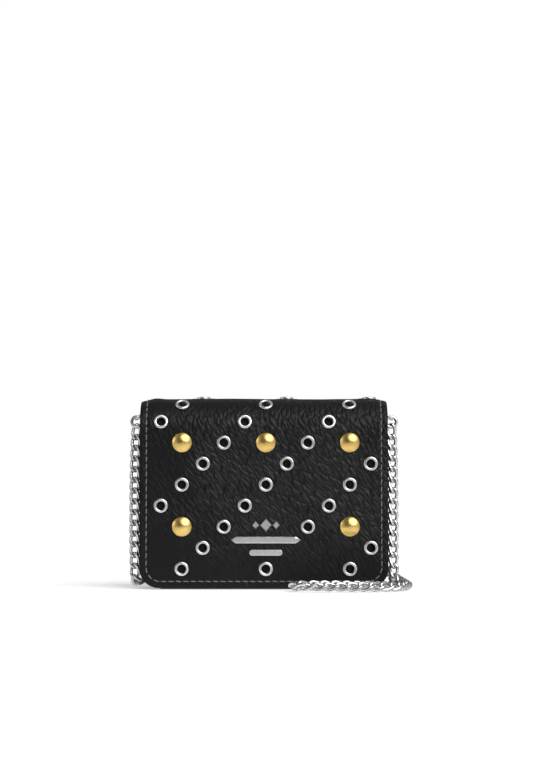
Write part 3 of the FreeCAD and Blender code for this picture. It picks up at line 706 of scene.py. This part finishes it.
def make_stitching():
    """The closed row on the wrap, and the row round three sides of the front wall."""
    path, normals = wrap_stitch_path()
    edge = stitch_row("wrap_stitching", path, normals)
    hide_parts("flap_stitching", "back_stitching")
    bends_at_hinge(edge)
    # dark plugs in the needle holes, as painted shade
    holes = needle_hole_shade("wrap_needle_hole_shade", path, normals)
    bends_at_hinge(holes)
    low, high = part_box("front_wall_stitching")
    corners = [(low.x, low.z), (low.x, high.z), (high.x, high.z), (high.x, low.z)]
    path = []
    for (x0, z0), (x1, z1) in zip(corners, corners[1:]):
        count = max(2, int(math.hypot(x1 - x0, z1 - z0) / (0.5 * MM)))
        path += [(x0 + (x1 - x0) * k / count, high.y - 0.1 * MM, z0 + (z1 - z0) * k / count)
                 for k in range(count)]
    path = np.array(path)
    wall = stitch_row("wall_stitching", path, np.tile([0.0, -1.0, 0.0], (len(path), 1)))
    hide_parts("front_wall_stitching")
    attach(wall, "wallet_body")


# ======== flat and folded panels of the body ========
def foot_line(x, foot_z):
    """The lowest place at x that stays hidden behind the flap's round lower corners."""
    side = HALF_W - CORNER_R
    beyond = np.clip(np.abs(x) - side, 0, CORNER_R)
    hidden = FLAP_FOOT + CORNER_R - np.sqrt(np.maximum(CORNER_R ** 2 - beyond ** 2, 0))
    return np.where(np.abs(x) > side, np.maximum(hidden, foot_z), foot_z)


def panel(name, node, material, corner_r, notch=None):
    """An upright sheet in a CAD node's place, with a rounded edge, round top corners and, where notch gives
    its radius and depth, a thumb notch in the middle of its top."""
    low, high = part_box(node)
    width, height = high.x - low.x, high.z - low.z
    u = steps(width, PANEL_STEP, FINE) + low.x
    v = steps(height, PANEL_STEP, FINE) / height
    top = np.full(len(u), high.z)
    reach = np.maximum(np.abs(u - (low.x + high.x) / 2) - (width / 2 - corner_r), 0)
    top -= corner_r - np.sqrt(np.maximum(corner_r ** 2 - reach ** 2, 0))
    if notch:
        radius, sunk = notch
        dip = np.sqrt(np.maximum(radius ** 2 - u ** 2, 0)) - (radius - sunk)
        top -= np.maximum(dip, 0)
    x = np.repeat(u[None, :], len(v), axis=0)
    foot = foot_line(u, low.z)
    z = foot[None, :] + v[:, None] * (top - foot)[None, :]
    points = np.stack([x, np.full(x.shape, low.y), z], axis=-1)
    normals = np.zeros_like(points)
    normals[..., 1] = -1
    away = np.minimum(np.minimum(x - low.x, high.x - x), np.minimum(z - foot, top[None, :] - z))
    thickness = high.y - low.y
    obj = shell(name, points, normals, thickness, np.maximum(away, 0), material,
                np.stack([x, z], axis=-1), edge_r=min(EDGE_R, EDGE_SHARE * thickness))
    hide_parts(node)
    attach(obj, "wallet_body")


def smoothed(points, times):
    """Rounds a line's corners by cutting them, ends kept."""
    for _ in range(times):
        cut = [points[0]]
        for a, b in zip(points, points[1:]):
            cut += [0.75 * a + 0.25 * b, 0.25 * a + 0.75 * b]
        points = cut + [points[-1]]
    return points


def make_gusset(side):
    """A strip with two soft pleats, as wide and deep as its CAD solid."""
    hand = "right" if side > 0 else "left"
    low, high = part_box("gusset_" + hand)
    out_x = max(abs(low.x), abs(high.x))
    plan = [(out_x, low.y), (GUSSET_IN_X, (low.y + TAB_Y) / 2), (out_x, TAB_Y),
            (GUSSET_IN_X, (TAB_Y + high.y) / 2), (out_x, high.y)]
    line = np.array(smoothed([np.array(p) for p in plan], 3))
    rise = steps(high.z - low.z, 2.0 * MM, FINE) / (high.z - low.z)
    foot = foot_line(line[:, 0], low.z)
    z = foot[None, :] + rise[:, None] * (high.z - foot)[None, :]
    outward = strip_outward(line)
    reach = run_along(line)
    points = np.empty((*z.shape, 3))
    normals = np.zeros_like(points)
    slack = 0.35 * MM * np.sin(rise * math.pi)
    points[..., 0] = side * (line[None, :, 0] - slack[:, None] * (line[None, :, 0] < out_x - 2 * MM))
    points[..., 1] = line[None, :, 1]
    points[..., 2] = z
    normals[..., 0] = side * outward[None, :, 0]
    normals[..., 1] = outward[None, :, 1]
    away = np.minimum(np.minimum(z - foot, high.z - z), np.minimum(reach, reach[-1] - reach)[None, :])
    lay = np.stack(np.broadcast_arrays(reach[None, :], z), axis=-1)
    obj = shell("pleats_" + hand, points, normals, GUSSET_T, away, INNER, lay,
                edge_r=0.3 * MM)
    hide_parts("gusset_" + hand)
    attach(obj, "wallet_body")


def make_tab(side):
    """A strap folded round the D-ring's bar, its two ends together down the pleat's ridge."""
    hand = "right" if side > 0 else "left"
    low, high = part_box("side_tab_" + hand)
    bar_r = (high.x - low.x) / 2
    middle_x = side * (low.x + high.x) / 2
    bar_z = high.z - bar_r
    past = 1.15  # radians that the loop turns beyond its half round, at both ends
    turn = np.linspace(-past, math.pi + past, 22)
    loop = [(middle_x + bar_r * math.cos(a), bar_z + bar_r * math.sin(a)) for a in turn]
    down = np.linspace(bar_z - bar_r - 1.5 * MM, low.z, 12)
    outer_end = [(middle_x + 0.63 * MM, z) for z in down[::-1]]
    inner_end = [(middle_x - 0.33 * MM, z) for z in down]
    line = np.array(smoothed([np.array(p) for p in outer_end + loop + inner_end], 2))
    outward = strip_outward(line)
    reach = run_along(line)
    y = steps(high.y - low.y, 0.6 * MM, FINE[:3]) + low.y
    points = np.empty((len(line), len(y), 3))
    normals = np.zeros_like(points)
    points[..., 0] = side * line[:, None, 0]
    points[..., 1] = y[None, :]
    points[..., 2] = line[:, None, 1]
    normals[..., 0] = side * outward[:, None, 0]
    normals[..., 2] = outward[:, None, 1]
    away = np.minimum(np.minimum(reach, reach[-1] - reach)[:, None],
                      np.minimum(y - low.y, high.y - y)[None, :])
    lay = np.stack(np.broadcast_arrays(y[None, :], reach[:, None]), axis=-1)
    obj = shell("strap_" + hand, points, normals, STRAP_T, away, INNER, lay,
                edge_r=0.25 * MM)
    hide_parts("side_tab_" + hand)
    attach(obj, "wallet_body")


def make_body_panels():
    """The upright sheets inside, the pleated sides and their tabs."""
    panel("wall_outer", "front_wall_leather", OUTER, 3.0 * MM)
    panel("wall_lining", "front_wall_lining", WEAVE, 2.4 * MM)
    panel("divider_panel", "divider", INNER, 2.0 * MM)
    for place in ("front", "middle", "rear"):
        panel("pocket_" + place, "card_pocket_" + place, INNER, 1.0 * MM,
              notch=(9.0 * MM, 3.6 * MM))
    for side in (-1, 1):
        make_gusset(side)
        make_tab(side)


def make_base():
    """The flat strip that joins the back and the front wall at the foot."""
    low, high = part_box("base_panel")
    x = steps(high.x - low.x, 3.0 * MM, FINE) + low.x
    y = steps(high.y - low.y, 1.5 * MM, FINE) + low.y
    points = np.stack(np.broadcast_arrays(x[None, :], y[:, None], np.array(low.z)), axis=-1)
    normals = np.tile([0.0, 0.0, -1.0], (len(y), len(x), 1))
    away = np.minimum(np.minimum(x - low.x, high.x - x)[None, :],
                      np.minimum(y - low.y, high.y - y)[:, None])
    obj = shell("base_strip", points, normals, high.z - low.z, away, INNER,
                points[..., :2].copy())
    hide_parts("base_panel")
    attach(obj, "wallet_body")


# ======== the chain ========
def hank_points():
    """Control points of the put-away turns, from the right mouth at the top to the left one below."""
    half, radius = HANK_RUN / 2, HANK_FOLD_R
    turn_step = math.radians(36)
    corner_r = radius / math.cos(turn_step / 2)
    loop = [(x, 0.0) for x in (half * 0.6, half * 0.2, -half * 0.2, -half * 0.6)]
    bends = [(k + 0.5) * turn_step for k in range(5)]
    loop += [(-half - corner_r * math.sin(a), radius - corner_r * math.cos(a)) for a in bends]
    loop += [(x, 2 * radius) for x in (-half * 0.6, -half * 0.2, half * 0.2, half * 0.6)]
    loop += [(half + corner_r * math.sin(a), radius + corner_r * math.cos(a)) for a in bends]
    last = [(x, 0.0) for x in (half * 0.6, half * 0.2, -half * 0.2, -half * 0.6)]
    flat = loop * HANK_TURNS + last
    points = []
    for k, (x, y) in enumerate(flat):
        z = HANK_TOP_Z + (HANK_LOW_Z - HANK_TOP_Z) * (k + 1) / (len(flat) + 1)
        points.append((x, HANK_NEAR_Y + y, z))
    return points


def route():
    """The whole chain's control points, from the right ring through the hank to the left ring."""
    right = [tuple(c * MM for c in p) for p in RIGHT_ROUTE]
    left = [tuple(c * MM for c in p) for p in LEFT_ROUTE]
    return right + hank_points() + left[::-1]


def sampled(points):
    """Points along the smooth line that these control."""
    curve = bpy.data.curves.new("route", "CURVE")
    curve.dimensions = "3D"
    curve.resolution_u = 16
    spline = curve.splines.new("NURBS")
    spline.points.add(len(points) - 1)
    for target, p in zip(spline.points, points):
        target.co = (*p, 1.0)
    spline.order_u = 3
    spline.use_endpoint_u = True
    holder = bpy.data.objects.new("route", curve)
    bpy.context.scene.collection.objects.link(holder)
    mesh = bpy.data.meshes.new_from_object(holder)
    line = np.array([v.co for v in mesh.vertices])
    bpy.data.objects.remove(holder)
    bpy.data.meshes.remove(mesh)
    bpy.data.curves.remove(curve)
    return line


def chain_frames(line):
    """Evenly spaced links: middles, directions, and the way that each one's flat side looks: up in the hank,
    up and forwards on the floor, and forwards where the chain hangs."""
    at = run_along(line)
    fine = np.linspace(0, at[-1], 8 * round(at[-1] / LINK_PITCH) + 1)
    p = read_off(fine, at, line)
    t = unit(np.gradient(p, axis=0))
    n = np.zeros_like(p)
    n[0] = (0.25, -0.97, 0.0)
    for i in range(1, len(p)):
        in_hank = p[i, 1] > HANK_NEAR_Y - 8 * MM
        hangs = p[i, 2] > 12 * MM and not in_hank
        aim = UP if in_hank else np.array([0.0, -0.72, 0.69])
        if hangs:
            aim = np.array([0.35 if p[i, 0] > 0 else -0.1, -0.95, 0.0])
        aim = aim - t[i] * np.dot(aim, t[i])
        carried = n[i - 1] - t[i] * np.dot(n[i - 1], t[i])
        if np.dot(aim, carried) < 0:
            aim = -aim
        n[i] = carried + LINK_SETTLING * aim
        n[i] /= np.linalg.norm(n[i])
    first = LINK_PITCH / 2 - LINK_HOOK
    count = round((at[-1] - 2 * first) / LINK_PITCH) + 1
    spots = np.linspace(first, at[-1] - first, count)
    middle, along, flat = (read_off(spots, fine, v) for v in (p, t, n))
    return middle, unit(along), unit(flat), at[-1]


def link_shape():
    """One link's wire as rings of points, along, across and through the chain; its faces; and how far each
    point stands on the wire's flank, which sets how much painted shade it gets."""
    around, sides = 26, 8
    long = (LINK_PITCH + 2 * LINK_WIRE_R) / 2
    half = CHAIN_W / 2 - LINK_WIRE_R
    a = np.linspace(0, 2 * math.pi, around, endpoint=False)
    along = long * np.sign(np.cos(a)) * np.abs(np.cos(a)) ** LINK_ROUNDNESS
    across = half * np.sign(np.sin(a)) * np.abs(np.sin(a)) ** LINK_ROUNDNESS
    twist = LINK_TWIST * along / long
    line = np.stack([along, across * np.cos(twist), across * np.sin(twist)], axis=1)
    tangent = unit(np.roll(line, -1, axis=0) - np.roll(line, 1, axis=0))
    ref = np.stack([np.zeros(around), -np.sin(twist), np.cos(twist)], axis=1)
    side = unit(np.cross(tangent, ref))
    up = np.cross(side, tangent)
    m = np.linspace(0, 2 * math.pi, sides, endpoint=False)
    rings = line[:, None, :] + LINK_WIRE_R * (np.cos(m)[None, :, None] * side[:, None, :]
                                              + np.sin(m)[None, :, None] * up[:, None, :])
    faces = []
    for i in range(around):
        for k in range(sides):
            j, q = (i + 1) % around, (k + 1) % sides
            faces.append((i * sides + k, j * sides + k, j * sides + q, i * sides + q))
    flank_shade = np.tile(np.abs(np.cos(m)), around)
    return rings.reshape(-1, 3), np.array(faces), flank_shade


def make_chain():
    """Every link in one mesh, on the line that the route controls."""
    line = sampled(route())
    middle, along, flat, length = chain_frames(line)
    shape, link_faces, flank_shade = link_shape()
    across = np.cross(flat, along)
    vertices, faces = [], []
    for k in range(len(middle)):
        placed = (middle[k] + shape[:, :1] * along[k] + shape[:, 1:2] * across[k]
                  + shape[:, 2:] * flat[k])
        faces.append(link_faces + len(shape) * k)
        vertices.append(placed)
    chain = add_mesh("chain", np.concatenate(vertices), np.concatenate(faces), CHAIN)
    # this attribute lays painted shade on the wire's flanks
    shade = chain.data.attributes.new("flank_shade", "FLOAT", "POINT")
    shade.data.foreach_set("value", np.tile(flank_shade, len(middle)).astype(np.float32))
    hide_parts("chain_right_run", "chain_left_run", "chain_hank")
    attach(chain, "wallet_body")
    tie = make_tie()


def make_tie():
    """A soft band round the middle of the put-away chain."""
    low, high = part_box("hank_tie")
    y0, y1, z0, z1 = low.y, high.y, low.z, high.z
    radius = 3.0 * MM
    plan = []
    for cy, cz, start in ((y1 - radius, z1 - radius, 0), (y0 + radius, z1 - radius, 90),
                          (y0 + radius, z0 + radius, 180), (y1 - radius, z0 + radius, 270)):
        for a in np.radians(start + np.linspace(0, 90, 7)):
            plan.append((cy + radius * math.cos(a), cz + radius * math.sin(a),
                         math.cos(a), math.sin(a)))
    plan.append(plan[0])
    plan = np.array(plan)
    x = np.linspace(low.x, high.x, 9)
    points = np.empty((len(plan), len(x), 3))
    normals = np.zeros_like(points)
    points[..., 0] = x[None, :]
    points[..., 1:] = plan[:, None, :2]
    normals[..., 1:] = plan[:, None, 2:]
    away = np.repeat(np.minimum(x - low.x, high.x - x)[None, :], len(plan), axis=0)
    lay = np.stack(np.broadcast_arrays(x[None, :], np.arange(len(plan))[:, None] * MM), axis=-1)
    tie = shell("tie_band", points, normals, 0.6 * MM, away, TIE, lay, edge_r=0.25 * MM)
    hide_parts("hank_tie")
    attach(tie, "wallet_body")
    return tie


# ======== CAD pieces that stay, with their finish ========
def finish_cad_pieces():
    """The metal and board pieces keep their CAD shapes."""
    finishes = {"nickel": NICKEL, "gold": GOLD, "board": BOARD}
    for part in frame["record"]["subparts"]:
        obj = frame["nodes"][part["node"]]
        if not obj.hide_render and part["material_slot"] in finishes:
            obj.data.materials.clear()
            obj.data.materials.append(finishes[part["material_slot"]])


# ======== stage ========
def studio_world():
    """White behind the wallet; round it a dim room, lighter at both sides, behind and above."""
    world = bpy.data.worlds.new("studio")
    world.use_nodes = True
    nodes = Nodes(world.node_tree)
    way = nodes.node("ShaderNodeTexCoord").outputs["Generated"]
    lean = nodes.node("ShaderNodeVectorMath", {0: way, 1: ROOM_LEAN}, operation="DOT_PRODUCT")
    tone = nodes.ramp(lean.outputs["Value"], -0.5, 0.8, ROOM_DARK, ROOM_LIGHT)
    sideways = nodes.math("ABSOLUTE", nodes.node("ShaderNodeSeparateXYZ", {0: way}).outputs["X"])
    walls = nodes.ramp(sideways, 0.4, 0.9, 0.0, ROOM_SIDES)
    room = nodes.node("ShaderNodeBackground", {"Strength": nodes.math("ADD", tone, walls)})
    backdrop = nodes.tree.nodes["Background"]
    backdrop.inputs["Color"].default_value = (1.0, 1.0, 1.0, 1)
    ray = nodes.node("ShaderNodeLightPath").outputs["Is Camera Ray"]
    choice = nodes.node("ShaderNodeMixShader", {"Fac": ray, 1: room.outputs[0], 2: backdrop.outputs[0]})
    nodes.tree.links.new(choice.outputs[0], nodes.tree.nodes["World Output"].inputs["Surface"])
    bpy.context.scene.world = world


def area_light(name, place, aim, size, power):
    """A soft box at a place, looking at aim."""
    data = bpy.data.lights.new(name, "AREA")
    data.shape = "RECTANGLE"
    data.size, data.size_y = size
    data.energy = power
    light = bpy.data.objects.new(name, data)
    light.location = place
    light.rotation_euler = (Vector(aim) - Vector(place)).to_track_quat("-Z", "Y").to_euler()
    bpy.context.scene.collection.objects.link(light)


def far_light(name, rise, turn, power, spread):
    """A wide soft source far off, rise degrees above the horizon and turn degrees to the right of the
    front, that fills spread degrees of the sky."""
    data = bpy.data.lights.new(name, "SUN")
    data.energy = power
    data.angle = math.radians(spread)
    light = bpy.data.objects.new(name, data)
    up, about = math.radians(rise), math.radians(turn)
    towards = Vector((math.cos(up) * math.sin(about), -math.cos(up) * math.cos(about), math.sin(up)))
    light.rotation_euler = towards.to_track_quat("Z", "Y").to_euler()
    bpy.context.scene.collection.objects.link(light)


def make_floor():
    """A white, faintly glowing table with a round edge. What stands on it reflects a darker floor and the
    room beyond."""
    s = Shader("pale_floor", (0.9, 0.9, 0.9), 0.6, Emission_Color=(1, 1, 1, 1),
               Emission_Strength=FLOOR_GLOW)
    cloudy, _ = s.noise(solid_vector(s), 0.01, 2.0)
    white = s.colour(cloudy, (0.89, 0.89, 0.89), (0.91, 0.91, 0.91))
    away = s.node("ShaderNodeVectorMath", {0: solid_vector(s)}, operation="LENGTH").outputs["Value"]
    mirrored = s.node("ShaderNodeLightPath").outputs["Is Glossy Ray"]
    dim = s.node("ShaderNodeMix", {"Factor": s.math("MULTIPLY", mirrored, s.ramp(away, 50.0, 170.0))},
                 data_type="RGBA")
    s.tree.links.new(white, dim.inputs["A"])
    dim.inputs["B"].default_value = (FLOOR_DIM, FLOOR_DIM, FLOOR_DIM, 1)
    s.link(dim.outputs["Result"], "Base Color")
    turn = [2 * math.pi * k / 64 for k in range(64)]
    edge = [(TABLE_R * math.cos(a), TABLE_R * math.sin(a), -0.02 * MM) for a in turn]
    mesh = bpy.data.meshes.new("floor")
    mesh.from_pydata(edge, [], [tuple(range(len(edge)))])
    mesh.materials.append(s.material)
    floor = bpy.data.objects.new("floor", mesh)
    bpy.context.scene.collection.objects.link(floor)


def make_stage():
    """A wide key light on the right, a faint one from behind and a soft box on the left."""
    studio_world()
    make_floor()
    far_light("key", rise=42, turn=36, power=2.9, spread=56)
    far_light("back", rise=60, turn=175, power=0.15, spread=60)
    area_light("side", (-0.9, -0.1, 0.35), aim=(0, 0, 0.045), size=(0.25, 0.5), power=0.8)
    bpy.context.scene.view_settings.view_transform = "Standard"


def make_camera():
    """Level with the wallet's middle, far off, and tipped up so that it stands low in the picture."""
    distance, height, tilt = 0.9, 45 * MM, 3.12
    data = bpy.data.cameras.new("camera")
    data.lens = 91.6
    data.sensor_width = 36.0
    camera = bpy.data.objects.new("camera", data)
    camera.location = (1.2 * MM, FRONT_Y - distance, height)
    camera.rotation_euler = (math.radians(90 + tilt), 0, 0)
    bpy.context.scene.collection.objects.link(camera)
    bpy.context.scene.camera = camera


make_camera()
make_chain()
make_wrap()
make_stitching()
make_body_panels()
make_base()
finish_cad_pieces()
make_stage()
